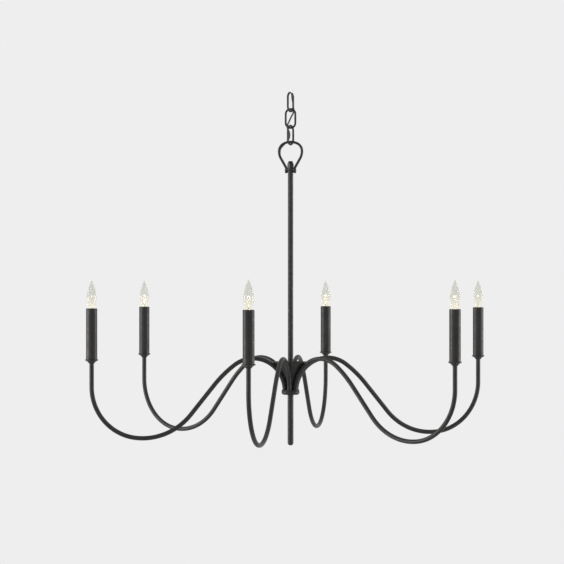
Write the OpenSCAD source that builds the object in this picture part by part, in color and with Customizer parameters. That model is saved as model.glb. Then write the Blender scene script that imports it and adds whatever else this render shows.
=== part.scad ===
// Six-arm candle chandelier that hangs from a short chain.
// Millimetres, +Z up. The origin is the point that the hook bears on, inside the top link.

/* [Chain] */
// Diameter of the link wire
link_wire = 4.2; // [4:0.1:4.6]
// Clear length inside a link
link_inside = 34; // [32:0.5:38]
// Clear width inside a link
link_gap = 15.8; // [15:0.1:18]

/* [Hanging loop] */
// Diameter of the loop wire
loop_wire = 5.2; // [4.8:0.1:5.6]
// Distance from the centre line to the middle of each foot
foot_offset = 8.8; // [8.7:0.1:9.5]

/* [Stem] */
// Height from the candle cups up to the shoulder of the rod
rod_rise = 388; // [360:1:420]
// Outside diameter of the rod
rod_d = 11; // [10.5:0.1:11.2]
// Bore of the rod
rod_bore = 7.2; // [6.4:0.1:7.4]
// Diameter of the lower stem
stem_d = 12; // [11.5:0.1:14]
// Length of the lower stem
stem_l = 103; // [80:1:120]

/* [Arms] */
// Distance from the centre line to each candle
arm_reach = 415; // [405:1:430]
// Outside diameter of the arm tube
arm_d = 9; // [8.6:0.1:9]
// Bore of the arm tube
arm_bore = 7; // [6.9:0.1:7.2]

/* [Candles] */
// Outside diameter of the candle sleeve
sleeve_d = 22.2; // [22:0.1:23]
// Length of the candle sleeve
sleeve_l = 101.6; // [98:0.2:104]
// Outside diameter of the drip cup
cup_d = 26.4; // [25:0.1:30]
// Largest diameter of the bulb
bulb_d = 21; // [20:0.1:22]
// Height of the glass above the sleeve
bulb_rise = 57; // [52:1:62]

/* [Hidden] */

iron = [0.13, 0.12, 0.115];
$fn = 48;

// The chain: links one and three stand at odd_yaw, link two and the loop at even_yaw.
odd_yaw = 38;
even_yaw = -32;
link_play = 0.4;
link_pitch = link_inside - link_play;
link_half = (link_gap + link_wire) / 2;
loop_inside_z = -3 * link_pitch;
loop_axis_z = loop_inside_z + loop_wire / 2;

// Levels below the loop.
arm_top_z = loop_inside_z - 443;
rod_top_z = arm_top_z + rod_rise;
nut_h = 12;
hub_floor_z = arm_top_z - 60.5;
hub_plate_z = hub_floor_z + 2.5;
stem_top_z = arm_top_z - 67.5;
lead_ring_z = hub_floor_z - 2.9;
grommet_z = rod_top_z - 7.2;
cup_seat_z = arm_top_z + 7.3;
cup_rim_z = cup_seat_z + 1.2;
sleeve_top_z = cup_seat_z + sleeve_l;
tip_z = sleeve_top_z - 25;
socket_top_z = sleeve_top_z - 7.5;
glass_z = sleeve_top_z - 3.5;

// Arm centre line from the hub outwards. A stretch is [radius, turn in degrees], or [0, length] if straight.
arm_start = [12.3, hub_floor_z, 90];
arch = [67.5, -126];
shoulder = [240, -14];
sweep_in = [127, 58];
sweep_out = [103.5, 82];
arch_end = after(after(arm_start, arch), shoulder);
sweep_run = after(after([0, 0, arch_end.z], sweep_in), sweep_out);
slope_l = (arm_reach - arch_end.x - sweep_run.x) / cos(arch_end.z);
bowl_end = after(after(after(arch_end, [0, slope_l]), sweep_in), sweep_out);
upright_l = arm_top_z - bowl_end.y;
arm_run = [arch, shoulder, [0, slope_l], sweep_in, sweep_out];
arm_path = concat(
    lengths(arch, 5), [shoulder, [0, slope_l]], lengths(sweep_in, 3), lengths(sweep_out, 4), [[0, upright_l]]
);

// Hanging loop: half of it gives the leg's length and the level of the feet.
// The whole runs from foot to foot.
crown = [33, -24];
corner = [17.5, -66];
flank = [30, -30];
ankle = [8, 30];
flank_end = after(after(after([0, loop_axis_z, 0], crown), corner), flank);
ankle_run = after([0, 0, flank_end.z], ankle);
leg_l = (foot_offset - flank_end.x - ankle_run.x) / cos(flank_end.z);
half_loop = [crown, corner, flank, [0, leg_l], ankle];
nut_z = place([0, loop_axis_z, 0], half_loop, 5).y;
whole_crown = [crown[0], 2 * crown[1]];
two_corners = lengths(corner, 2);
loop_path = concat(
    [ankle, [0, leg_l], flank], two_corners, [whole_crown], two_corners, [flank, [0, leg_l], ankle]
);

// Glass of the bulb: its height and wall, and how far up it is widest.
bulb_h = bulb_rise + sleeve_top_z - glass_z;
bulb_neck_r = 6;
bulb_belly = 0.4;
glass_wall = 0.7;
bulb_steps = 24;

// Route of the supply cord: out of the grommet behind the rod, up behind the loop's leg, through the chain.
cord_d = 3.2;
cord_sides = 8;
cord_route = [
    [2, 3.5, -163], [4, 6, -163], [5, 10.5, -162], [4.5, 15, -159.5], [1.5, 18.5, -155], [-3, 18.5, -149],
    [-8.5, 17, -141.5], [-12.5, 16.5, -134], [-16.5, 16.5, -126.5], [-17, 16.5, -118.5], [-16, 15.5, -111.5],
    [-11.5, 13, -105], [-7, 10.5, -100], [-3, 7, -94.5], [-1.5, 3.5, -89], [-1.5, 1, -83], [-3.5, -0.5, -77],
    [-6.5, -0.5, -71.5], [-7, 0, -65], [-4, -0.5, -58.5], [-1, -0.5, -52], [2, -0.5, -46], [5.5, -0.5, -40],
    [7, 0.5, -33.5], [6, -0.5, -26.5], [4.5, -3, -20], [2, -6, -14], [0.5, -7.5, -7]
];
cord_lower_end = 15;
cord_middle_end = 20;
cord_last = len(cord_route) - 1;

// Where a path stands after one stretch. A place is [across, up, heading].
function after(p, s) =
    s[0] == 0
    ? [p.x + s[1] * cos(p.z), p.y + s[1] * sin(p.z), p.z]
    : let (r = s[0] * sign(s[1]), h = p.z + s[1])
      [p.x + r * (sin(h) - sin(p.z)), p.y + r * (cos(p.z) - cos(h)), h];
function place(start, path, i) = i == 0 ? start : after(place(start, path, i - 1), path[i - 1]);
function lengths(s, n) = [for (i = [1:n]) [s[0], s[1] / n]];

// A round bar or a tube along a path in the XZ plane. Bore 0 is solid, gap is the space between stretches.
module along(start, path, d, bore = 0, gap = 0.02) {
    for (i = [0:len(path) - 1])
        stretch(place(start, path, i), path[i], d, bore, gap);
}
module stretch(p, s, d, bore, gap) {
    if (s[0] == 0)
        translate([p.x, 0, p.y])
            rotate([0, 90 - p.z, 0])
                linear_extrude(s[1] - gap) ring(d, bore);
    else
        translate([p.x - s[0] * sign(s[1]) * sin(p.z), 0, p.y + s[0] * sign(s[1]) * cos(p.z)])
            rotate([90, 0, 0])
                rotate([0, 0, s[1] > 0 ? p.z - 90 : p.z + 90 + s[1] + gap / s[0] * 180 / PI])
                    rotate_extrude(angle = abs(s[1]) - gap / s[0] * 180 / PI, $fn = 144)
                        translate([s[0], 0]) ring(d, bore);
}
module ring(d, bore, $fn = 32) {
    difference() {
        circle(d = d);
        if (bore > 0)
            circle(d = bore);
    }
}
module tube(z, h, d, bore) {
    translate([0, 0, z])
        linear_extrude(h) ring(d, bore, $fn = 64);
}
module at_candle(k) {
    rotate(60 * (k - 1))
        translate([arm_reach, 0, 0])
            children();
}

// One closed oval link, its inside top at the given level.
module link(top_z, yaw) {
    straight = link_inside - link_gap;
    top_bend = top_z - link_gap / 2;
    path = [[link_half, 180], [0, straight], [link_half, 180], [0, straight]];
    color(iron)
        rotate(yaw)
            along([link_half, top_bend, 90], path, link_wire, gap = 0);
}
module chain_link_top() link(0, odd_yaw);
module chain_link_middle() link(-link_pitch, even_yaw);
module chain_link_bottom() link(-2 * link_pitch, odd_yaw);

// Forged loop: a bent wire on two feet that hold a plate, which the rod's thread passes through.
module hanging_loop() {
    foot_r = 3.1;
    foot_low = rod_top_z - 3;
    foot_top = nut_z - 0.02;
    color(iron)
        rotate(even_yaw) {
            along([-foot_offset, nut_z, 90], loop_path, loop_wire);
            difference() {
                union() {
                    for (side = [-1, 1])
                        translate([side * foot_offset, 0, 0])
                            rotate_extrude($fn = 64)
                                polygon([
                                    [0, foot_low - foot_r], [0.5 * foot_r, foot_low - 0.87 * foot_r],
                                    [0.87 * foot_r, foot_low - 0.5 * foot_r], [foot_r, foot_low],
                                    [foot_r, foot_top], [0, foot_top]
                                ]);
                    translate([0, 0, rod_top_z])
                        cylinder(h = foot_top - rod_top_z - 0.1, r = foot_offset - 0.3, $fn = 64);
                }
                translate([0, 0, rod_top_z - 1])
                    cylinder(h = 8, d = 9.8, $fn = 64);
            }
        }
}

// Round-shouldered hexagon nut on the rod's thread.
module loop_nut() {
    color(iron)
        rotate(even_yaw + 30)
            difference() {
                intersection() {
                    translate([0, 0, nut_z])
                        cylinder(h = nut_h, d = 13.6, $fn = 6);
                    translate([0, 0, nut_z])
                        cylinder(h = nut_h, d1 = 14.6, d2 = 12.6, $fn = 64);
                }
                translate([0, 0, nut_z - 1])
                    cylinder(h = nut_h + 2, d = 9.8, $fn = 64);
            }
}

// Rubber grommet in the cord hole behind the rod, just under the loop.
module cord_grommet() {
    color([0.06, 0.06, 0.06])
        rotate(even_yaw)
            translate([0, 0, grommet_z])
                rotate([-90, 0, 0])
                    rotate_extrude($fn = 48)
                        polygon([
                            [1.95, 3.9], [2.4, 3.9], [2.4, 5.6], [3.2, 5.6], [3.1, 6.5], [2.6, 7], [1.95, 7]
                        ]);
}

module centre_rod() {
    top = nut_z + nut_h + 4;
    low = stem_top_z - 14;
    color(iron)
        difference() {
            union() {
                translate([0, 0, hub_floor_z])
                    cylinder(h = rod_top_z - hub_floor_z, d = rod_d, $fn = 64);
                translate([0, 0, rod_top_z])
                    cylinder(h = top - rod_top_z, d = 9.7, $fn = 64);
                translate([0, 0, low])
                    cylinder(h = hub_floor_z - low, d = 9.7, $fn = 64);
            }
            translate([0, 0, low - 1])
                cylinder(h = rod_top_z - low - 1, d = rod_bore, $fn = 64);
            rotate(even_yaw)
                translate([0, 0, grommet_z])
                    rotate([-90, 0, 0])
                        cylinder(h = 8, d = 4.9);
            rotate(30)
                translate([0, 0, hub_floor_z - 2.5])
                    rotate([0, 90, 0])
                        cylinder(h = 8, d = 3.6);
        }
}

// Hub: a turned flange with six holes for the arms, and a spun trumpet inside them that flares as they do.
module hub_body() {
    flare_h = 59;
    flare_wall = 1.4;
    flare_r = arch[0] + arm_d / 2 + 0.25;
    rim_bead_r = 1.2;
    rod_gap_r = rod_d / 2 + 0.05;
    arch_x = arm_start.x + arch[0];
    rim_x = arch_x - sqrt(pow(flare_r + rim_bead_r, 2) - pow(flare_h, 2));
    color(iron)
        difference() {
            rotate_extrude($fn = 96) {
                polygon([
                    [rod_gap_r, hub_floor_z], [16.6, hub_floor_z], [18.3, hub_floor_z + 0.8],
                    [18.3, hub_plate_z - 0.8], [17.3, hub_plate_z], [rod_gap_r, hub_plate_z]
                ]);
                translate([arch_x, hub_floor_z])
                    intersection() {
                        difference() {
                            circle(r = flare_r + flare_wall, $fn = 192);
                            circle(r = flare_r, $fn = 192);
                        }
                        translate([rod_gap_r - arch_x, 0])
                            square([arch_x / 2, flare_h]);
                    }
                translate([rim_x, hub_floor_z + flare_h])
                    circle(r = rim_bead_r);
            }
            for (k = [1:6])
                rotate(60 * (k - 1))
                    translate([arm_start.x, 0, hub_floor_z - 1])
                        cylinder(h = hub_plate_z - hub_floor_z + 2, d = arm_d + 0.3);
        }
}

// Spun cup that closes the hub's wire space from below.
module hub_cup() {
    color(iron)
        rotate_extrude($fn = 96)
            difference() {
                union() {
                    translate([0, stem_top_z])
                        square([13.3, 5]);
                    translate([13.3, stem_top_z + 5])
                        intersection() {
                            circle(r = 5);
                            translate([0, -5])
                                square([5, 5]);
                        }
                    translate([0, stem_top_z + 5])
                        square([18.3, hub_floor_z - stem_top_z - 5]);
                }
                translate([0, stem_top_z + 1.4])
                    square([13, 10]);
                translate([13, stem_top_z + 4.7])
                    intersection() {
                        circle(r = 3.3);
                        translate([0, -3.3])
                            square([3.3, 3.3]);
                    }
                translate([13, stem_top_z + 4.7])
                    square([3.3, 6]);
                translate([0, stem_top_z - 1])
                    square([4.9, 4]);
            }
}

// Two closed crimp caps that join the leads inside the cup.
module crimp_caps() {
    cap_d = 3.6;
    color([0.86, 0.85, 0.8])
        for (a = [75, 255])
            rotate(a)
                translate([8, -3.5, lead_ring_z])
                    rotate([-90, 0, 0])
                        rotate_extrude($fn = 48)
                            polygon([
                                [0, 0], [cap_d / 2, 0], [cap_d / 2, 6], [0.37 * cap_d, 7], [0.2 * cap_d, 7.6],
                                [0, 7.8]
                            ]);
}

// Lower stem: a plain bar, drilled for the rod's end, with a domed tip.
module lower_stem() {
    radius = stem_d / 2;
    color(iron)
        rotate_extrude($fn = 64)
            difference() {
                union() {
                    translate([0, stem_top_z - stem_l + radius])
                        square([radius, stem_l - radius]);
                    translate([0, stem_top_z - stem_l + radius])
                        intersection() {
                            circle(r = radius);
                            translate([0, -radius])
                                square(radius);
                        }
                }
                translate([-1, stem_top_z - 16])
                    square([5.9, 17]);
            }
}

module arm(k) {
    color(iron)
        rotate(60 * (k - 1))
            along(arm_start, arm_path, arm_d, arm_bore);
}
module arm_1() arm(1);
module arm_2() arm(2);
module arm_3() arm(3);
module arm_4() arm(4);
module arm_5() arm(5);
module arm_6() arm(6);

// Leads: one in each arm, down to the taped bundle of wire that rings the rod inside the hub cup.
module arm_leads() {
    bundle_top_z = lead_ring_z + 1.2;
    tail = 45;
    lead_path = concat([[0, hub_floor_z - bundle_top_z]], arm_run, [[0, upright_l + tail]]);
    color([0.75, 0.72, 0.62]) {
        for (k = [1:6])
            rotate(60 * (k - 1))
                along([arm_start.x, bundle_top_z, 90], lead_path, 3);
        rotate_extrude($fn = 96)
            polygon([
                [11.6, bundle_top_z - 2], [12, bundle_top_z - 2.4], [13.8, bundle_top_z - 2.4],
                [14.2, bundle_top_z - 2], [14.2, bundle_top_z - 0.05], [11.6, bundle_top_z - 0.05]
            ]);
    }
}

// Threaded nipples that hold cup and socket to the end of each arm.
module arm_nipples() {
    color([0.7, 0.68, 0.6])
        for (k = [1:6])
            at_candle(k)
                tube(arm_top_z - 10, 30, arm_bore - 0.04, 4.2);
}

// Drip cup under the candle: a shallow dish on a short cone.
module candle_cup(k) {
    rim = cup_d / 2;
    color(iron)
        at_candle(k)
            rotate_extrude($fn = 96)
                polygon([
                    [arm_bore / 2, arm_top_z], [arm_d / 2 + 0.4, arm_top_z],
                    [arm_d / 2 + 0.9, arm_top_z + 0.8], [rim - 3.4, arm_top_z + 5],
                    [rim - 0.6, arm_top_z + 6.4], [rim, arm_top_z + 7], [rim, cup_rim_z - 0.3],
                    [rim - 0.4, cup_rim_z], [rim - 1.0, cup_rim_z], [rim - 1.4, cup_seat_z],
                    [arm_bore / 2, cup_seat_z]
                ]);
}
module candle_cup_1() candle_cup(1);
module candle_cup_2() candle_cup(2);
module candle_cup_3() candle_cup(3);
module candle_cup_4() candle_cup(4);
module candle_cup_5() candle_cup(5);
module candle_cup_6() candle_cup(6);

// Candle socket: a moulded post, hollow below for the leads and open above for the bulb's base.
module socket(k) {
    post_r = 8.8;
    color([0.1, 0.1, 0.1])
        at_candle(k)
            difference() {
                translate([0, 0, cup_seat_z])
                    cylinder(h = socket_top_z - cup_seat_z, r = post_r, $fn = 64);
                translate([0, 0, cup_seat_z - 1])
                    cylinder(h = 20, d = arm_bore, $fn = 64);
                translate([0, 0, arm_top_z + 20])
                    cylinder(h = tip_z - arm_top_z - 26, r = 6.4, $fn = 64);
                translate([0, 0, tip_z - 2])
                    cylinder(h = 40, r = 6.75, $fn = 64);
            }
}
module socket_1() socket(1);
module socket_2() socket(2);
module socket_3() socket(3);
module socket_4() socket(4);
module socket_5() socket(5);
module socket_6() socket(6);

// Brass screw shell and centre contact inside each socket.
module screw_shells() {
    color([0.78, 0.62, 0.3])
        for (k = [1:6])
            at_candle(k) {
                tube(tip_z + 2, socket_top_z - tip_z - 2.6, 13.4, 12.5);
                translate([0, 0, tip_z - 2])
                    cylinder(h = 1.7, r = 3);
            }
}

// Candle sleeve: a metal tube that stands in the drip cup and slips over the socket.
module sleeve(k) {
    outer = sleeve_d / 2;
    inner = outer - 1.2;
    color(iron)
        at_candle(k)
            rotate_extrude($fn = 96)
                polygon([
                    [inner, cup_seat_z], [outer, cup_seat_z], [outer, sleeve_top_z - 0.5],
                    [outer - 0.15, sleeve_top_z - 0.15], [outer - 0.5, sleeve_top_z],
                    [inner + 0.3, sleeve_top_z], [inner, sleeve_top_z - 0.3]
                ]);
}
module sleeve_1() sleeve(1);
module sleeve_2() sleeve(2);
module sleeve_3() sleeve(3);
module sleeve_4() sleeve(4);
module sleeve_5() sleeve(5);
module sleeve_6() sleeve(6);

// Flame-shaped bulb: radius at a share t of the glass height.
function bulb_swell(w) = w * w * (3 - 2 * w);
function bulb_r(t) =
    t < bulb_belly
    ? bulb_neck_r + (bulb_d / 2 - bulb_neck_r) * bulb_swell(t / bulb_belly)
    : bulb_d / 2 * (1 - pow((t - bulb_belly) / (1 - bulb_belly), 1.55));
module bulb_glass(k) {
    outside = [for (i = [0:bulb_steps]) [bulb_r(i / bulb_steps), glass_z + bulb_h * i / bulb_steps]];
    top = bulb_steps - 1;
    inside = [for (i = [top:-1:0]) [bulb_r(i / bulb_steps) - glass_wall, glass_z + bulb_h * i / bulb_steps]];
    color([0.95, 0.93, 0.86, 0.4])
        at_candle(k)
            rotate_extrude($fn = 64)
                polygon(concat(outside, [[0, glass_z + bulb_h * (top + 0.35) / bulb_steps]], inside));
}
module bulb_glass_1() bulb_glass(1);
module bulb_glass_2() bulb_glass(2);
module bulb_glass_3() bulb_glass(3);
module bulb_glass_4() bulb_glass(4);
module bulb_glass_5() bulb_glass(5);
module bulb_glass_6() bulb_glass(6);

// Candelabra screw base: contact tip, insulator cone, five thread ridges and a collar.
module bulb_base(k) {
    pitch = 2.54;
    crest = 5.85;
    root = 5.35;
    thread_z = tip_z + 4;
    ridges = [for (i = [0:4]) each [[root, thread_z + pitch * i], [crest, thread_z + pitch * (i + 0.5)]]];
    color([0.8, 0.78, 0.7])
        at_candle(k)
            rotate_extrude($fn = 64)
                polygon(concat(
                    [[0, tip_z], [1.7, tip_z], [2.3, tip_z + 1.2], [3.4, tip_z + 1.6], [root, tip_z + 3.2]],
                    ridges,
                    [[root, socket_top_z - 0.6], [6.5, socket_top_z + 0.6], [6.5, glass_z], [0, glass_z]]
                ));
}
module bulb_base_1() bulb_base(1);
module bulb_base_2() bulb_base(2);
module bulb_base_3() bulb_base(3);
module bulb_base_4() bulb_base(4);
module bulb_base_5() bulb_base(5);
module bulb_base_6() bulb_base(6);

// Glass mount with two support wires and the bowed filament between them.
module filament(k) {
    wire_d = 0.5;
    spread = 2.6;
    mount_top_z = glass_z + 9;
    wire_top_z = glass_z + 26;
    color([0.6, 0.55, 0.45])
        at_candle(k)
            rotate(60 * k) {
                translate([0, 0, glass_z])
                    cylinder(h = 3, r1 = 4.6, r2 = 1.6, $fn = 48);
                translate([0, 0, glass_z + 2.5])
                    cylinder(h = mount_top_z - glass_z - 2.5, r = 1.6, $fn = 32);
                for (side = [-1, 1]) {
                    translate([0, 0, mount_top_z - 1])
                        rotate([0, side * 8.3, 0])
                            cylinder(h = wire_top_z - mount_top_z + 1, d = wire_d, $fn = 16);
                }
                translate([0, 0, wire_top_z - 0.4])
                    rotate([90, 0, 0])
                        rotate_extrude(angle = 180, $fn = 48)
                            translate([spread, 0])
                                circle(d = wire_d, $fn = 16);
            }
}
module filament_1() filament(1);
module filament_2() filament(2);
module filament_3() filament(3);
module filament_4() filament(4);
module filament_5() filament(5);
module filament_6() filament(6);

// Supply cord inside the rod: in through the grommet, down the bore and out to the lead bundle.
module cord_in_rod() {
    inner_x = 3.8;
    elbow = 2.2;
    way_down = [[0, inner_x - elbow], [elbow, 90], [0, grommet_z - elbow - lead_ring_z]];
    color([0.08, 0.08, 0.08]) {
        rotate(even_yaw + 90)
            along([inner_x, grommet_z, 180], way_down, cord_d);
        translate([0, 0, lead_ring_z])
            rotate([0, 90, 30])
                cylinder(h = 11.4, d = 2.4);
    }
}

// The frame of the supply cord is carried from one point of its route to the next, so cut ends match.
function unit(v) = v / norm(v);
function cord_way(i) = unit(cord_route[min(i + 1, cord_last)] - cord_route[max(i - 1, 0)]);
function cord_flat(v, i) = unit(v - (v * cord_way(i)) * cord_way(i));
function cord_side(i) = i == 0 ? cord_flat([0, 0, 1], 0) : cord_flat(cord_side(i - 1), i);
function cord_ring(i) =
    let (side = cord_side(i), across = cross(cord_way(i), side))
    [for (j = [0:cord_sides - 1])
        let (a = 360 * j / cord_sides)
        cord_route[i] + cord_d / 2 * (cos(a) * side + sin(a) * across)];

// The cord from one point of its route to another, as one closed tube.
module cord_piece(first, last) {
    rings = last - first;
    points = [for (i = [first:last]) each cord_ring(i)];
    walls = [
        for (i = [0:rings - 1], j = [0:cord_sides - 1])
            let (a = i * cord_sides + j, b = i * cord_sides + (j + 1) % cord_sides)
            each [[a, a + cord_sides, b], [b, a + cord_sides, b + cord_sides]]
    ];
    start_cap = [for (j = [0:cord_sides - 1]) j];
    end_cap = [for (j = [cord_sides - 1:-1:0]) rings * cord_sides + j];
    polyhedron(points, concat([start_cap, end_cap], walls));
}
module cord_lower() {
    color([0.08, 0.08, 0.08])
        cord_piece(0, cord_lower_end);
}
module cord_middle() {
    color([0.08, 0.08, 0.08])
        cord_piece(cord_lower_end, cord_middle_end);
}

// The cord ends above the chain in two insulated leads with bare tips, ready to be joined.
module cord_upper() {
    lead_d = 1.5;
    lead_l = 8;
    bare_d = 0.8;
    bare_l = 6;
    color([0.08, 0.08, 0.08]) {
        cord_piece(cord_middle_end, cord_last);
        for (side = [-1, 1])
            translate(cord_route[cord_last] + [side * 0.75, 0, -0.4])
                rotate([0, side * 5, 0]) {
                    cylinder(h = lead_l, d = lead_d, $fn = 24);
                    cylinder(h = lead_l + bare_l, d = bare_d, $fn = 24);
                }
    }
}

chain_link_top();
chain_link_middle();
chain_link_bottom();
hanging_loop();
loop_nut();
cord_grommet();
centre_rod();
hub_body();
hub_cup();
crimp_caps();
lower_stem();
arm_leads();
arm_nipples();
screw_shells();
arm_1();
arm_2();
arm_3();
arm_4();
arm_5();
arm_6();
candle_cup_1();
candle_cup_2();
candle_cup_3();
candle_cup_4();
candle_cup_5();
candle_cup_6();
socket_1();
socket_2();
socket_3();
socket_4();
socket_5();
socket_6();
sleeve_1();
sleeve_2();
sleeve_3();
sleeve_4();
sleeve_5();
sleeve_6();
bulb_glass_1();
bulb_glass_2();
bulb_glass_3();
bulb_glass_4();
bulb_glass_5();
bulb_glass_6();
bulb_base_1();
bulb_base_2();
bulb_base_3();
bulb_base_4();
bulb_base_5();
bulb_base_6();
filament_1();
filament_2();
filament_3();
filament_4();
filament_5();
filament_6();
cord_in_rod();
cord_lower();
cord_middle();
cord_upper();
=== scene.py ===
"""Six-arm candle chandelier: the visual pieces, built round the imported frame. Metres, +Z up."""
import math

import bpy
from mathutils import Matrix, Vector


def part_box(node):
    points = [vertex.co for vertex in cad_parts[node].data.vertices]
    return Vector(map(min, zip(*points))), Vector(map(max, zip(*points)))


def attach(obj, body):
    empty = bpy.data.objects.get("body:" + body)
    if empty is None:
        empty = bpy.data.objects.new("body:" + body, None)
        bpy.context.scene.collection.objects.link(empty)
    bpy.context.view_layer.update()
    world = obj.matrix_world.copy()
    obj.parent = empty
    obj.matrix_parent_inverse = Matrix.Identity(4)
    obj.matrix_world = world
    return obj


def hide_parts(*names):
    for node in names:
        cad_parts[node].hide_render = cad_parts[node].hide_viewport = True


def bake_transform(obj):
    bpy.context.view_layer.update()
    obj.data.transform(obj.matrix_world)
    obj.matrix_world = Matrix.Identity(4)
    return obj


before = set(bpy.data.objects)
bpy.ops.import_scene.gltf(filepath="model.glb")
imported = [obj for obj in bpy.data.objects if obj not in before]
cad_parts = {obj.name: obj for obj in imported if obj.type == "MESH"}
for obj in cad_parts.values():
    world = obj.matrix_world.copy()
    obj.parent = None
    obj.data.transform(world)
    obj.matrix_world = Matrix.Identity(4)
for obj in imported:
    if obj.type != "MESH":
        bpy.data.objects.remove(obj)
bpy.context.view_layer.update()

MM = 0.001
CANDLES = range(1, 7)
EVEN_YAW = math.radians(-32)  # the middle link and the loop
ODD_YAW = math.radians(38)  # the top and bottom links

# The chain and the loop's wire, in millimetres.
LINK_WIRE = 4.2
LINK_INSIDE = 34
LINK_GAP = 15.8
LINK_PLAY = 0.4
LINK_PITCH = LINK_INSIDE - LINK_PLAY
LINK_HALF = (LINK_GAP + LINK_WIRE) / 2
LOOP_WIRE = 5.2
LOOP_INSIDE = -3 * LINK_PITCH

# Levels of the part, in millimetres.
ARM_TOP = LOOP_INSIDE - 443
ROD_TOP = ARM_TOP + 388
HUB_FLOOR = ARM_TOP - 60.5
HUB_PLATE = HUB_FLOOR + 2.5
STEM_TOP = ARM_TOP - 67.5
STEM_END = STEM_TOP - 103
CUP_SEAT = ARM_TOP + 7.3
CUP_RIM = CUP_SEAT + 1.2
SLEEVE_TOP = CUP_SEAT + 101.6
BASE_TIP = SLEEVE_TOP - 25
SOCKET_TOP = SLEEVE_TOP - 7.5
GLASS_LOW = SLEEVE_TOP - 3.5
GLASS_HIGH = SLEEVE_TOP + 57
GROMMET_Z = ROD_TOP - 7.2

# ---------------------------------------------------------------- camera
CAMERA = (-1.5247, -4.3750, -0.3932)
AIM = (-0.0163, 0.0058, -0.3825)
LENS_MM = 145.7


def aimed(obj, place, aim):
    """Put a camera or lamp at a place and point it at another."""
    bpy.context.scene.collection.objects.link(obj)
    obj.location = place
    obj.rotation_euler = (Vector(aim) - Vector(place)).to_track_quat("-Z", "Y").to_euler()
    return obj


camera = aimed(bpy.data.objects.new("camera", bpy.data.cameras.new("camera")), CAMERA, AIM)
camera.data.sensor_width = 36
camera.data.lens = LENS_MM
bpy.context.scene.camera = camera


# ---------------------------------------------------------------- mesh helpers
# A part is (vertices in millimetres, faces).
def piece(name, verts, faces, smooth=35):
    """A mesh object from a part, shaded smooth up to that crease angle."""
    mesh = bpy.data.meshes.new(name)
    mesh.from_pydata([tuple(v * MM for v in p) for p in verts], [], faces)
    mesh.validate()
    mesh.shade_smooth()
    mesh.set_sharp_from_angle(angle=math.radians(smooth))
    obj = bpy.data.objects.new(name, mesh)
    bpy.context.scene.collection.objects.link(obj)
    return obj


def lathe(profile, steps=72, centre=(0, 0), shape=None):
    """A profile [(radius, z)] turned about an upright axis. Radius 0 closes an end.

    shape(radius, z, angle) gives another radius at each point.
    """
    verts, faces, rings = [], [], []
    for r, z in profile:
        if r <= 0:
            rings.append([len(verts)])
            verts.append((centre[0], centre[1], z))
            continue
        ring = []
        for j in range(steps):
            a = 2 * math.pi * j / steps
            rr = r if shape is None else shape(r, z, a)
            ring.append(len(verts))
            verts.append((centre[0] + rr * math.cos(a), centre[1] + rr * math.sin(a), z))
        rings.append(ring)
    for lower, upper in zip(rings, rings[1:]):
        for j in range(steps):
            k = (j + 1) % steps
            if len(lower) == 1 and len(upper) == 1:
                break
            if len(lower) == 1:
                faces.append((lower[0], upper[k], upper[j]))
            elif len(upper) == 1:
                faces.append((lower[j], lower[k], upper[0]))
            else:
                faces.append((lower[j], lower[k], upper[k], upper[j]))
    return verts, faces


def round_corner(r, z, radius):
    """Profile points of a quarter round about (r, z), from just past its bottom to its side."""
    angles = [math.radians(a) for a in range(9, 91, 9)]
    return [(r + radius * math.sin(a), z - radius * math.cos(a)) for a in angles]


def frames(points, side=(0, 0, 1), closed=False):
    """Point, side and across vectors along a line of points, carried along without twist."""
    pts = [Vector(p) for p in points]
    n = len(pts)
    out = []
    s = Vector(side)
    for i in range(n):
        before = pts[i - 1] if i or closed else pts[0]
        beyond = pts[(i + 1) % n] if i < n - 1 or closed else pts[-1]
        way = (beyond - before).normalized()
        s = (s - way * s.dot(way)).normalized()
        out.append((pts[i], s.copy(), way.cross(s)))
    return out


def tube(line, radius, sides, closed=False, shape=None):
    """A round bar on a line of frames. radius is a number or one for each point; shape(i, a) scales it."""
    verts = []
    for i, (p, s, t) in enumerate(line):
        r = radius[i] if hasattr(radius, "__len__") else radius
        for j in range(sides):
            a = 2 * math.pi * j / sides
            k = r if shape is None else r * shape(i, a)
            verts.append(tuple(p + s * (k * math.cos(a)) + t * (k * math.sin(a))))
    faces = []
    for ring in range(0, (len(line) - 1) * sides, sides):
        for j in range(sides):
            a, b = ring + j, ring + (j + 1) % sides
            faces.append((a, b, b + sides, a + sides))
    last = (len(line) - 1) * sides
    if closed:
        faces += [(last + j, last + (j + 1) % sides, (j + 1) % sides, j) for j in range(sides)]
        return verts, faces
    for ring, p in ((0, line[0][0]), (last, line[-1][0])):
        centre = len(verts)
        verts.append(tuple(p))
        for j in range(sides):
            a, b = ring + j, ring + (j + 1) % sides
            faces.append((centre, b, a) if ring == 0 else (centre, a, b))
    return verts, faces


def sweep(points, radius, sides, side, closed=False, shape=None):
    """A round bar along points."""
    return tube(frames(points, side, closed), radius, sides, closed, shape)


def joined(*parts):
    """Several parts as one."""
    verts, faces = [], []
    for v, f in parts:
        offset = len(verts)
        verts += v
        faces += [tuple(i + offset for i in face) for face in f]
    return verts, faces


def turned(part, yaw, at=(0, 0, 0)):
    """A part turned about +Z and moved."""
    c, s = math.cos(yaw), math.sin(yaw)
    verts = [(x * c - y * s + at[0], x * s + y * c + at[1], z + at[2]) for x, y, z in part[0]]
    return verts, part[1]


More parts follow.
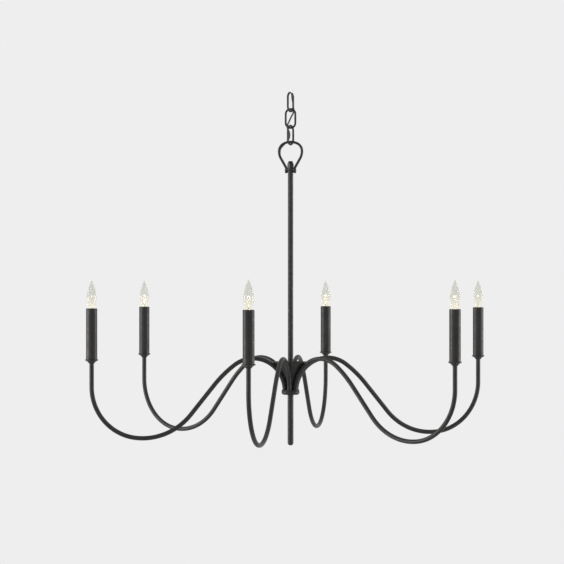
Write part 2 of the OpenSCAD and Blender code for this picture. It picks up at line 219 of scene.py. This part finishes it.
# A path is a list of stretches: (radius, turn in degrees), or (0, length) if straight.
def end_of(start, path):
    """Where a path in the XZ plane ends. A place is (x, z, heading in degrees)."""
    x, z, heading = start
    for radius, amount in path:
        h0 = math.radians(heading)
        if radius == 0:
            x += amount * math.cos(h0)
            z += amount * math.sin(h0)
            continue
        r = math.copysign(radius, amount)
        h1 = h0 + math.radians(amount)
        x += r * (math.sin(h1) - math.sin(h0))
        z += r * (math.cos(h0) - math.cos(h1))
        heading += amount
    return x, z, heading


def bar_path(start, path, step):
    """Points along a path in the XZ plane, about a step apart."""
    points = [(start[0], 0, start[1])]
    for radius, amount in path:
        length = amount if radius == 0 else radius * math.radians(abs(amount))
        count = max(2, round(length / step))
        for i in range(1, count + 1):
            x, z, _ = end_of(start, [(radius, amount * i / count)])
            points.append((x, 0, z))
        start = end_of(start, [(radius, amount)])
    return points


def closing_straight(before, rest, target):
    """Length of the straight from a place to the path rest, so that rest ends at a target x."""
    run = end_of((0, 0, before[2]), rest)[0]
    return (target - before[0] - run) / math.cos(math.radians(before[2]))


def finish_piece(obj, body, look=None, nodes=()):
    """Material, CAD nodes it stands for and body, in one call."""
    if look:
        obj.data.materials.append(look)
    if nodes:
        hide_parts(*nodes)
    if body:
        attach(obj, body)
    return obj


# ---------------------------------------------------------------- materials
class Nodes:
    """Shorthand for building one Principled material."""

    def __init__(self, name):
        self.material = bpy.data.materials.new(name)
        self.material.use_nodes = True
        self.tree = self.material.node_tree
        self.shader = self.tree.nodes["Principled BSDF"]
        self.place = self.add("ShaderNodeTexCoord").outputs["Object"]

    def add(self, kind, **values):
        node = self.tree.nodes.new(kind)
        for key, value in values.items():
            if hasattr(node, key):
                setattr(node, key, value)
            else:
                node.inputs[key.replace("_", " ")].default_value = value
        return node

    def link(self, a, b):
        self.tree.links.new(a, b)

    def noise(self, scale, detail):
        node = self.add("ShaderNodeTexNoise", Scale=scale, Detail=detail, Roughness=0.55)
        self.link(self.place, node.inputs["Vector"])
        return node.outputs["Fac"]

    def remap(self, value, low, high, to_low, to_high):
        node = self.add("ShaderNodeMapRange", clamp=True)
        for i, v in enumerate((low, high, to_low, to_high)):
            node.inputs[i + 1].default_value = v
        self.link(value, node.inputs[0])
        return node.outputs[0]

    def mix(self, share, a, b):
        node = self.add("ShaderNodeMix", data_type="RGBA")
        self.link(share, node.inputs[0])
        for socket, value in ((node.inputs[6], a), (node.inputs[7], b)):
            if isinstance(value, tuple):
                socket.default_value = (*value, 1)
            else:
                self.link(value, socket)
        return node.outputs[2]

    def times(self, a, b):
        node = self.add("ShaderNodeMath", operation="MULTIPLY")
        self.link(a, node.inputs[0])
        self.link(b, node.inputs[1])
        return node.outputs[0]

    def bump(self, height, distance, strength, under=None):
        node = self.add("ShaderNodeBump", Strength=strength, Distance=distance)
        self.link(height, node.inputs["Height"])
        if under is not None:
            self.link(under, node.inputs["Normal"])
        return node.outputs["Normal"]

    def set(self, **values):
        for key, value in values.items():
            socket = self.shader.inputs[key.replace("_", " ")]
            if isinstance(value, bpy.types.NodeSocket):
                self.link(value, socket)
            elif isinstance(value, tuple):
                socket.default_value = (*value, 1)
            else:
                socket.default_value = value


def iron_look():
    """Near-black satin coat over forged iron: soft mottling, orange peel and rubbed high spots."""
    n = Nodes("satin_black_iron")
    mottle = n.remap(n.noise(45, 4), 0.35, 0.68, 0, 1)
    colour = n.mix(mottle, (0.0165, 0.0158, 0.0154), (0.0240, 0.0227, 0.0218))
    edges = n.remap(n.add("ShaderNodeNewGeometry").outputs["Pointiness"], 0.52, 0.60, 0, 1)
    rubbed = n.times(edges, n.remap(n.noise(160, 5), 0.45, 0.62, 0, 0.8))
    n.set(Base_Color=n.mix(rubbed, colour, (0.040, 0.035, 0.030)))
    n.set(Roughness=n.remap(n.noise(110, 4), 0.3, 0.7, 0.38, 0.52), IOR=1.27)
    forged = n.bump(n.noise(70, 2), 0.0006, 0.15)
    n.set(Normal=n.bump(n.noise(1100, 2), 0.00010, 0.35, forged))
    return n.material


def plain_look(name, colour, darker, rough, metallic=0.0, scale=90.0, grain=1500.0, bump=0.00008):
    """Two-tone surface with uneven gloss and a fine grain."""
    n = Nodes(name)
    n.set(Base_Color=n.mix(n.remap(n.noise(scale, 4), 0.35, 0.65, 0, 1), colour, darker))
    n.set(Roughness=n.remap(n.noise(scale * 2.3, 3), 0.3, 0.7, rough * 0.8, rough * 1.2))
    n.set(Metallic=metallic, IOR=1.48)
    n.set(Normal=n.bump(n.noise(grain, 2), bump, 0.5))
    return n.material


TINT_AND_GLOW_RISE = 34  # how far above the collar the bulb's warmer tint and painted glow fade out


def glass_look():
    """Thin clear bulb glass, greyish at the tip and warmer towards the collar, with a faint painted glow
    there.
    """
    n = Nodes("bulb_glass_look")
    height = n.add("ShaderNodeSeparateXYZ")
    n.link(n.place, height.inputs[0])
    low = n.remap(height.outputs["Z"], GLASS_LOW * MM, (GLASS_LOW + TINT_AND_GLOW_RISE) * MM, 1, 0)
    n.set(Base_Color=n.mix(low, (0.86, 0.86, 0.83), (0.97, 0.94, 0.86)))
    n.set(Roughness=n.remap(n.noise(90, 2), 0.35, 0.65, 0.03, 0.06))
    n.set(Transmission_Weight=0.97, IOR=1.10, Specular_IOR_Level=0.4)
    # Painted glow: the glass itself emits a faint warm light near the collar, fading out above it, though
    # the glass is no lamp.
    n.set(Emission_Color=(1.0, 0.88, 0.66), Emission_Strength=n.remap(low, 0, 1, 0.0, 0.04))
    return n.material


def glow_look():
    """Warm lit tungsten."""
    n = Nodes("filament_look")
    n.set(Base_Color=n.mix(n.noise(2600, 2), (0.85, 0.62, 0.35), (1.0, 0.82, 0.55)))
    n.set(Roughness=n.remap(n.noise(1800, 2), 0.3, 0.7, 0.3, 0.5), Metallic=1.0)
    n.set(Emission_Color=(1.0, 0.84, 0.55), Emission_Strength=4.0)
    n.set(Normal=n.bump(n.noise(4000, 1), 0.00004, 0.4))
    return n.material


IRON = iron_look()
GLASS = glass_look()
GLOW = glow_look()
CORD = plain_look(
    "cord_jacket_look", (0.012, 0.012, 0.012), (0.022, 0.021, 0.020), 0.5, grain=2400, bump=0.0001)
RUBBER = plain_look("rubber_look", (0.014, 0.014, 0.014), (0.022, 0.022, 0.021), 0.62)
CAPS = plain_look("cap_look", (0.74, 0.71, 0.60), (0.62, 0.58, 0.47), 0.45)
LEADS = plain_look("lead_look", (0.60, 0.55, 0.42), (0.50, 0.45, 0.33), 0.42)
STEEL = plain_look("plated_look", (0.66, 0.64, 0.58), (0.55, 0.52, 0.46), 0.32, 1.0, 260)
BRASS = plain_look("brass_look", (0.76, 0.58, 0.27), (0.62, 0.44, 0.19), 0.3, 1.0, 260)
NICKEL = plain_look("nickel_look", (0.76, 0.74, 0.68), (0.60, 0.57, 0.50), 0.27, 1.0, 320)
PLASTIC = plain_look("socket_look", (0.028, 0.027, 0.026), (0.045, 0.043, 0.040), 0.45, scale=200)
SOLDER = plain_look("solder_look", (0.62, 0.61, 0.58), (0.45, 0.44, 0.42), 0.38, 1.0, 500)
BLACK_GLASS = plain_look("insulator_look", (0.02, 0.018, 0.022), (0.04, 0.035, 0.04), 0.15)
STEM_GLASS = plain_look("mount_glass_look", (0.90, 0.90, 0.84), (0.80, 0.82, 0.74), 0.12, scale=300)

CARRIED_OVER = {
    "crimp_caps": CAPS,
    "arm_leads": LEADS,
    "arm_nipples": STEEL,
    "screw_shells": BRASS,
    "cord_in_rod": CORD,
    "hub_body": IRON,
    **{f"socket_{k}": PLASTIC for k in CANDLES},
}
for node, look in CARRIED_OVER.items():
    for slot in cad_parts[node].material_slots:
        slot.material = look

# ---------------------------------------------------------------- supply cord
CORD_D = 3.2
CORD_ROUTE = [
    (2, 3.5, -163), (4, 6, -163), (5, 10.5, -162), (4.5, 15, -159.5), (1.5, 18.5, -155), (-3, 18.5, -149),
    (-8.5, 17, -141.5), (-12.5, 16.5, -134), (-16.5, 16.5, -126.5), (-17, 16.5, -118.5), (-16, 15.5, -111.5),
    (-11.5, 13, -105), (-7, 10.5, -100), (-3, 7, -94.5), (-1.5, 3.5, -89), (-1.5, 1, -83), (-3.5, -0.5, -77),
    (-6.5, -0.5, -71.5), (-7, 0, -65), (-4, -0.5, -58.5), (-1, -0.5, -52), (2, -0.5, -46), (5.5, -0.5, -40),
    (7, 0.5, -33.5), (6, -0.5, -26.5), (4.5, -3, -20), (2, -6, -14), (0.5, -7.5, -7),
]
CORD_FINE = 5  # points between two of the route's
LEAD_R = 0.75
STRANDS_R = 0.4
LEAD_LEAN = math.radians(5)


def smooth_route(route, fine):
    """A Catmull-Rom line through the route's points."""
    pts = [Vector(p) for p in route]
    ends = [2 * pts[0] - pts[1]] + pts + [2 * pts[-1] - pts[-2]]
    out = []
    for i in range(len(pts) - 1):
        a, b, c, d = ends[i : i + 4]
        for k in range(fine):
            t = k / fine
            square, cube = 2 * a - 5 * b + 4 * c - d, 3 * b - a - 3 * c + d
            out.append(0.5 * (2 * b + (c - a) * t + square * t**2 + cube * t**3))
    return out + [pts[-1]]


def cord_part(name, first, last, node):
    """The cord between two points of its route."""
    line = frames(smooth_route(CORD_ROUTE, CORD_FINE))[first * CORD_FINE : last * CORD_FINE + 1]
    obj = piece(name, *tube(line, CORD_D / 2, 20), 50)
    finish_piece(obj, None, CORD, [node])
    path = [tuple(v * MM for v in p) for p, _, _ in line]
    length = sum((Vector(b) - Vector(a)).length for a, b in zip(path, path[1:]))
    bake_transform(obj)
    return obj, path, length


def strand_grooves(i, a):
    """Share of a strand bundle's radius at a point: grooves between the twisted wires."""
    return 1 - 0.12 * abs(math.sin(3.5 * a + i * 0.9))


def stripped_lead(tag, side):
    """One insulated lead out of the cord's top end, and the bare strands at its tip."""
    foot = Vector(CORD_ROUTE[-1]) + Vector((LEAD_R * side, 0, -0.4))
    way = Vector((side * math.sin(LEAD_LEAN), 0, math.cos(LEAD_LEAN)))
    jacket = [foot + way * d for d in (0, 2, 4, 6, 7.6, 8)]
    strands = [foot + way * d for d in (7.5, 9, 10.5, 12, 13, 14)]
    insulated = piece(f"lead_{tag}", *sweep(jacket, [LEAD_R] * 5 + [LEAD_R - 0.09], 16, (1, 0, 0)))
    finish_piece(insulated, "top_link", CORD)
    radii = [STRANDS_R] * 5 + [STRANDS_R - 0.1]
    bare = piece(f"strands_{tag}", *sweep(strands, radii, 12, (1, 0, 0), shape=strand_grooves))
    finish_piece(bare, "top_link", SOLDER)
    return [insulated, bare]


cord_low, path_low, long_low = cord_part(
    "supply_cord_low", 0, 15, "cord_lower")
cord_mid, path_mid, long_mid = cord_part(
    "supply_cord_mid", 15, 20, "cord_middle")
cord_top, path_top, long_top = cord_part(
    "supply_cord_top", 20, 27, "cord_upper")
lead_pieces = stripped_lead("left", -1) + stripped_lead("right", 1)


# ---------------------------------------------------------------- chain
def link_points():
    """Centre line of an oval link whose inside top is at zero."""
    straight = LINK_INSIDE - LINK_GAP
    path = [(LINK_HALF, 180), (0, straight)] * 2
    return bar_path((LINK_HALF, -LINK_GAP / 2, 90), path, 1.3)[:-1]


def weld_swell(points):
    """Radius at each point: a slight upset where the link's wire was butted and welded."""
    weld = Vector((LINK_HALF, 0, -LINK_INSIDE / 2))
    out = []
    for p in points:
        d = (Vector(p) - weld).length
        bead = 0.28 * math.exp(-((d / 1.7) ** 2)) - 0.16 * math.exp(-((d / 0.6) ** 2))
        out.append(LINK_WIRE / 2 * (0.985 + bead * 0.35))
    return out


link_line = link_points()
link_part = sweep(link_line, weld_swell(link_line), 24, (0, 1, 0), closed=True)
for name, node, body, level, yaw in (
    ("link_top", "chain_link_top", "top_link", 0, ODD_YAW),
    ("link_middle", "chain_link_middle", "middle_link", 1, EVEN_YAW),
    ("link_bottom", "chain_link_bottom", "bottom_link", 2, ODD_YAW),
):
    part = turned(link_part, yaw, (0, 0, -LINK_PITCH * level))
    finish_piece(piece(name, *part, 50), body, IRON, [node])

# ---------------------------------------------------------------- hanging loop, nut and grommet
FOOT_OFFSET = 8.8
FOOT_END = ROD_TOP - 6.1
PLATE_LOW = ROD_TOP + 0.05
PLATE_TOP = ROD_TOP + 2.5
PLATE_HOLE = 4.95
NUT_TOP = PLATE_TOP + 12.1
NUT_BORE = 4.9
NUT_FLAT = 5.89  # from the axis to the middle of a flat
LOOP_CROWN = (33, -24)  # half of the crown
LOOP_CORNER = (17.5, -66)
LOOP_FLANK = (30, -30)
LOOP_ANKLE = (8, 30)

# Half the loop, from its top down, gives the leg's length and the level where the wire meets its feet.
flank_end = end_of((0, LOOP_INSIDE + LOOP_WIRE / 2, 0), [LOOP_CROWN, LOOP_CORNER, LOOP_FLANK])
leg = (0, closing_straight(flank_end, [LOOP_ANKLE], FOOT_OFFSET))
foot_level = end_of(flank_end, [leg, LOOP_ANKLE])[1]
foot_to_corner = [LOOP_ANKLE, leg, LOOP_FLANK, LOOP_CORNER]
whole_crown = (LOOP_CROWN[0], 2 * LOOP_CROWN[1])
loop_path = foot_to_corner + [whole_crown] + foot_to_corner[::-1]
loop_line = bar_path((-FOOT_OFFSET, foot_level, 90), loop_path, 1.6)
foot_profile = [
    (0, FOOT_END), (1.4, FOOT_END + 0.2), (2.4, FOOT_END + 1), (3.0, FOOT_END + 2), (3.15, FOOT_END + 3.1),
    (3.15, FOOT_END + 7.3), (3.0, FOOT_END + 8.2), (2.75, FOOT_END + 9), (LOOP_WIRE / 2, FOOT_END + 10),
]
feet = [lathe(foot_profile, 36, (side * FOOT_OFFSET, 0)) for side in (-1, 1)]
plate = lathe([
    (PLATE_HOLE, PLATE_LOW), (8.2, PLATE_LOW), (8.5, PLATE_LOW + 0.25), (8.5, PLATE_TOP - 0.3),
    (8.2, PLATE_TOP), (PLATE_HOLE, PLATE_TOP), (PLATE_HOLE, PLATE_LOW),
], 64)
loop = turned(joined(sweep(loop_line, LOOP_WIRE / 2, 28, (0, 1, 0)), *feet, plate), EVEN_YAW)
finish_piece(piece("forged_loop", *loop, 40), "fixture", IRON, ["hanging_loop"])


def hexagon(r, _z, a):
    """Radius of a hexagon's outline at an angle, never past a circle that rounds its corners."""
    turn = (a + math.radians(30)) % math.radians(60) - math.radians(30)
    return min(NUT_FLAT / math.cos(turn), r) if r > NUT_BORE else r


nut_profile = [
    (NUT_BORE, foot_level), (5.95, foot_level), (6.4, foot_level + 0.3), (6.78, foot_level + 0.9),
    (6.78, NUT_TOP - 1.2), (6.4, NUT_TOP - 0.5), (5.9, NUT_TOP), (NUT_BORE, NUT_TOP), (NUT_BORE, foot_level),
]
nut = turned(lathe(nut_profile, 96, shape=hexagon), EVEN_YAW)
finish_piece(piece("loop_hex_nut", *nut, 25), "fixture", IRON, ["loop_nut"])

grommet_verts, grommet_faces = lathe([
    (1.95, 3.9), (2.4, 3.9), (2.4, 5.6), (2.9, 5.6), (3.2, 5.8), (3.2, 6.3), (3.0, 6.7), (2.5, 7.0),
    (2.1, 6.95), (1.95, 6.7), (1.95, 3.9),
], 48)
level_grommet = [(z, x, y) for x, y, z in grommet_verts], grommet_faces
grommet = turned(level_grommet, EVEN_YAW + math.pi / 2, (0, 0, GROMMET_Z))
finish_piece(piece("rubber_grommet", *grommet), "fixture", RUBBER, ["cord_grommet"])

# ---------------------------------------------------------------- rod, lower stem and hub cup
ROD_R = 5.5
ROD_END = NUT_TOP + 4
ROD_FOOT = HUB_FLOOR - 6.5
THREAD_ROOT = 4.55
THREAD_CREST = 4.85
THREAD_PITCH = 0.7
STEM_R = 6.0
HOLE_R = 4.95  # of the stem and the cup, round the rod's lower thread

# Thread on the rod's upper end: it stops short of the rounded tip.
thread_turns = int((ROD_END - 0.6 - ROD_TOP) / THREAD_PITCH)
thread = []
for i in range(1, thread_turns + 1):
    z = ROD_TOP + THREAD_PITCH * i
    thread += [(THREAD_ROOT, z), (THREAD_CREST, z + THREAD_PITCH / 2)]
rod_profile = [
    (0, ROD_FOOT), (4.2, ROD_FOOT), (THREAD_CREST, ROD_FOOT + 0.3), (THREAD_CREST, HUB_FLOOR),
    (ROD_R, HUB_FLOOR), (ROD_R, ROD_TOP - 0.6), (ROD_R - 0.5, ROD_TOP), (THREAD_CREST, ROD_TOP),
    *thread, (4.3, ROD_END - 0.4), (3.8, ROD_END), (0, ROD_END),
]
finish_piece(piece("rod", *lathe(rod_profile, 64)), "fixture", IRON, ["centre_rod"])

stem_profile = [
    (0, STEM_END), *round_corner(0, STEM_END + STEM_R, STEM_R), (STEM_R, STEM_TOP - 0.7),
    (STEM_R - 0.5, STEM_TOP - 0.05), (HOLE_R, STEM_TOP - 0.05),
]
finish_piece(piece("stem", *lathe(stem_profile, 64)), "fixture", IRON, ["lower_stem"])

cup_profile = [
    (HOLE_R, STEM_TOP + 0.02), (12.9, STEM_TOP + 0.02), *round_corner(13.3, STEM_TOP + 5, 5),
    (18.3, HUB_FLOOR - 0.35), (18.05, HUB_FLOOR - 0.05), (16.4, HUB_FLOOR - 0.05), (16.3, STEM_TOP + 4.7),
    (14, STEM_TOP + 1.8), (HOLE_R, STEM_TOP + 1.4), (HOLE_R, STEM_TOP + 0.02),
]
finish_piece(piece("wire_cup", *lathe(cup_profile, 96)), "fixture", IRON, ["hub_cup"])

# ---------------------------------------------------------------- arms
REACH = 415  # from the centre line to each candle
ARM_R = 4.5
ARM_START = (12.3, HUB_FLOOR, 90)
ARCH = (67.5, -126)
SHOULDER = (240, -14)
SWEEP_IN = (127, 58)
SWEEP_OUT = (103.5, 82)

arch_end = end_of(ARM_START, [ARCH, SHOULDER])
slope = (0, closing_straight(arch_end, [SWEEP_IN, SWEEP_OUT], REACH))
arm_run = [ARCH, SHOULDER, slope, SWEEP_IN, SWEEP_OUT]
upright = (0, ARM_TOP - end_of(ARM_START, arm_run)[1])
arm_tube = sweep(bar_path(ARM_START, arm_run + [upright], 4.0), ARM_R, 28, (0, 1, 0))
weld_profile = [
    (ARM_R - 0.05, HUB_PLATE + 2.0), (ARM_R + 0.35, HUB_PLATE + 1.35), (ARM_R + 0.95, HUB_PLATE + 0.75),
    (ARM_R + 1.35, HUB_PLATE + 0.15), (ARM_R + 1.35, HUB_PLATE - 0.1),
]


def weld_ripple(r, _z, a):
    """Small stacked ripples of a weld bead."""
    return r + (0.14 * math.sin(13 * a) if r > ARM_R + 0.2 else 0)


weld_bead = lathe(weld_profile, 72, (ARM_START[0] + 0.05, 0), weld_ripple)
arm_part = joined(arm_tube, weld_bead)
for k in CANDLES:
    arm = turned(arm_part, math.radians(60 * (k - 1)))
    finish_piece(piece(f"arm_tube_{k}", *arm, 40), "fixture", IRON, [f"arm_{k}"])

# ---------------------------------------------------------------- candles
CUP_R = 13.2
CUP_BORE = 3.5
SLEEVE_R = 11.1
SLEEVE_IN = 9.9
SLEEVE_LOW = CUP_SEAT + 0.05
BULB_R = 10.5
NECK_R = 6.0
BELLY = 0.4  # share of the height where the bulb is widest
GLASS_WALL = 0.7
BASE_PITCH = 2.54

cup_line = [
    (CUP_BORE, ARM_TOP + 0.05), (4.9, ARM_TOP + 0.05), (5.35, ARM_TOP + 0.5), (5.8, ARM_TOP + 1.3),
    (7.4, ARM_TOP + 3.1), (CUP_R - 3.3, ARM_TOP + 5), (CUP_R - 1.4, ARM_TOP + 6.0),
    (CUP_R - 0.5, ARM_TOP + 6.5), (CUP_R - 0.05, ARM_TOP + 7.1), (CUP_R, CUP_RIM - 0.6),
    (CUP_R - 0.2, CUP_RIM - 0.15), (CUP_R - 0.55, CUP_RIM), (CUP_R - 0.95, CUP_RIM - 0.1),
    (CUP_R - 1.25, CUP_RIM - 0.5), (CUP_R - 1.4, CUP_SEAT), (CUP_BORE, CUP_SEAT), (CUP_BORE, ARM_TOP + 0.05),
]
sleeve_line = [
    (SLEEVE_IN, SLEEVE_LOW), (SLEEVE_R - 0.3, SLEEVE_LOW), (SLEEVE_R, SLEEVE_LOW + 0.3),
    (SLEEVE_R, SLEEVE_TOP - 1.7), (SLEEVE_R - 0.06, SLEEVE_TOP - 1.2), (SLEEVE_R - 0.2, SLEEVE_TOP - 0.55),
    (SLEEVE_R - 0.5, SLEEVE_TOP - 0.12), (SLEEVE_R - 0.85, SLEEVE_TOP), (SLEEVE_IN + 0.2, SLEEVE_TOP - 0.15),
    (SLEEVE_IN, SLEEVE_TOP - 0.5), (SLEEVE_IN, SLEEVE_LOW),
]


def bulb_radius(t):
    """Outside radius of the flame bulb at a share of its height."""
    if t < BELLY:
        w = t / BELLY
        return NECK_R + (BULB_R - NECK_R) * w * w * (3 - 2 * w)
    return BULB_R * (1 - ((t - BELLY) / (1 - BELLY)) ** 1.55)


def bulb_shell():
    """Outside of the glass up to its drawn tip, and the inside back down, which ends below that tip."""
    height = GLASS_HIGH - GLASS_LOW
    steps = 36
    shares = [0.5 - 0.5 * math.cos(math.pi * i / steps) for i in range(steps + 1)]
    outside = [(max(bulb_radius(t), 0.55) if t < 0.995 else 0.0, GLASS_LOW + height * t) for t in shares]
    inside = [(bulb_radius(t) - GLASS_WALL, GLASS_LOW + height * t) for t in reversed(shares[:-5])]
    inside = [p for p in inside if p[0] > 0.4]
    return outside, [(0, inside[0][1] + 1.2)] + inside


def thread_radius(r, z, a):
    """A rolled candelabra thread on the screw shell, which fades out at both ends."""
    low, high = BASE_TIP + 4, SOCKET_TOP - 1.4
    fade = min(1, max(0, (z - low) / 1.2)) * min(1, max(0, (high - z) / 1.2))
    return r + 0.5 * fade * (0.5 + 0.5 * math.cos(2 * math.pi * (z / BASE_PITCH - a / (2 * math.pi))))


def base_parts(at):
    """Screw shell, insulator and centre contact of a bulb base."""
    rows = 44
    low, high = BASE_TIP + 3.4, SOCKET_TOP - 0.8
    shell = [(4.9, low - 0.3)] + [(5.35, low + (high - low) * i / rows) for i in range(rows + 1)]
    shell += [(5.6, SOCKET_TOP - 0.3), (6.35, SOCKET_TOP + 0.4), (6.5, SOCKET_TOP + 0.8),
              (6.5, GLASS_LOW - 0.4), (6.3, GLASS_LOW), (0, GLASS_LOW)]
    cone = [(2.2, BASE_TIP + 1.1), (3.3, BASE_TIP + 1.5), (4.9, BASE_TIP + 3.1)]
    contact = [(0, BASE_TIP), (1.2, BASE_TIP + 0.05), (1.75, BASE_TIP + 0.35), (2.0, BASE_TIP + 0.8),
               (2.2, BASE_TIP + 1.1)]
    return lathe(shell, 48, at, thread_radius), lathe(cone, 36, at), lathe(contact, 30, at)


def support_wire(side, low, high, foot_x, top_x):
    """One wire that bows outwards from the glass mount up to the filament."""
    shares = [i / 10 for i in range(11)]
    line = [(side * (foot_x + (top_x - foot_x) * t**1.2), 0, low + (high - low) * t) for t in shares]
    return sweep(line, 0.22, 8, (0, 1, 0))


def filament_coil(top_x, level):
    """A fine coil that arches over from one support wire to the other."""
    turns, per_turn = 26, 8
    coil_r, rise = 0.3, 2.2
    line = []
    for i in range(turns * per_turn + 1):
        a = math.pi * i / (turns * per_turn)
        spin = 2 * math.pi * i / per_turn
        x, z = top_x * math.cos(a), level + rise * math.sin(a)
        out = coil_r * math.cos(spin)
        line.append((x + out * math.cos(a), coil_r * math.sin(spin), z + out * math.sin(a)))
    return sweep(line, 0.09, 5, (0, 1, 0))


def filament_parts(at, yaw):
    """Glass mount, support wires and the coiled filament between them."""
    mount_top = GLASS_LOW + 9
    wire_top = GLASS_LOW + 26
    foot_x, top_x = 0.5, 2.6
    mount = lathe([
        (4.6, GLASS_LOW + 0.05), (3.4, GLASS_LOW + 1.4), (2.1, GLASS_LOW + 3.2), (1.65, GLASS_LOW + 5),
        (1.6, mount_top - 2), (1.9, mount_top - 0.9), (1.5, mount_top - 0.1), (0, mount_top),
    ], 32)
    wires = joined(*[support_wire(side, mount_top - 1, wire_top, foot_x, top_x) for side in (-1, 1)])
    place = (at[0], at[1], 0)
    return [turned(p, yaw, place) for p in (mount, wires, filament_coil(top_x, wire_top))]


def joined_looks(name, parts, looks):
    """One piece from several parts, each with its own look."""
    obj = piece(name, *joined(*parts), 40)
    for look in looks:
        obj.data.materials.append(look)
    owner = [index for index, (_, faces) in enumerate(parts) for _ in faces]
    obj.data.polygons.foreach_set("material_index", owner)
    return obj


outside_line, inside_line = bulb_shell()
for k in CANDLES:
    low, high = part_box(f"sleeve_{k}")
    middle = (low + high) / 2
    at = (middle.x / MM, middle.y / MM)
    cup = piece(f"drip_cup_{k}", *lathe(cup_line, 96, at), 30)
    finish_piece(cup, "fixture", IRON, [f"candle_cup_{k}"])
    sleeve = piece(f"candle_{k}", *lathe(sleeve_line, 96, at), 30)
    finish_piece(sleeve, f"candle_sleeve_{k}", IRON, [f"sleeve_{k}"])
    shell = joined(lathe(outside_line, 64, at), lathe(inside_line, 64, at))
    glass = piece(f"bulb_{k}_glass", *shell, 60)
    finish_piece(glass, f"bulb_{k}", GLASS, [f"bulb_glass_{k}"])
    base = joined_looks(f"bulb_{k}_base", base_parts(at), (NICKEL, BLACK_GLASS, SOLDER))
    finish_piece(base, f"bulb_{k}", nodes=[f"bulb_base_{k}"])
    inner_parts = filament_parts(at, math.radians(60 * k + 15))
    inner = joined_looks(f"bulb_{k}_filament", inner_parts, (STEM_GLASS, NICKEL, GLOW))
    finish_piece(inner, f"bulb_{k}", nodes=[f"filament_{k}"])

# ---------------------------------------------------------------- floor and light
BACKDROP = 0.855  # linear brightness of the pale studio
FLOOR_Z = -1.6
FLOOR_R = 3.5
LAMP_AIM = Vector((0, 0, -0.40))
LAMP_SIZE = (1.3, 1.7)
LAMP_SPREAD = math.radians(50)
AWAY = Vector((0.299, 0.954, 0))  # level, about the way the camera looks
RIGHT = Vector((0.954, -0.299, 0))  # level, to that view's right

scene = bpy.context.scene
scene.view_settings.view_transform = "Standard"
scene.view_settings.look = "None"
world = bpy.data.worlds.new("studio")
world.use_nodes = True
background = world.node_tree.nodes["Background"]
background.inputs["Color"].default_value = (BACKDROP, BACKDROP, BACKDROP, 1)
background.inputs["Strength"].default_value = 1.0
scene.world = world

floor = piece("floor", *lathe([(0, FLOOR_Z / MM), (FLOOR_R / MM, FLOOR_Z / MM)], 96))
floor_look = plain_look(
    "floor_look", (0.95, 0.95, 0.95), (0.93, 0.93, 0.93), 0.8, scale=3, grain=60, bump=0.0001)
floor.data.materials.append(floor_look)


def soft_box(name, right, away, up, power):
    """A large rectangular lamp, that far from the place it points at. It isn't seen itself."""
    lamp = bpy.data.lights.new(name, "AREA")
    lamp.shape = "RECTANGLE"
    lamp.size, lamp.size_y = LAMP_SIZE
    lamp.energy = power
    lamp.spread = LAMP_SPREAD
    place = LAMP_AIM + RIGHT * right + AWAY * away + Vector((0, 0, up))
    aimed(bpy.data.objects.new(name, lamp), place, LAMP_AIM).visible_camera = False


soft_box("key_left", right=-2.6, away=-0.4, up=0.15, power=11)
soft_box("fill_right", right=2.6, away=0.2, up=0.1, power=8)
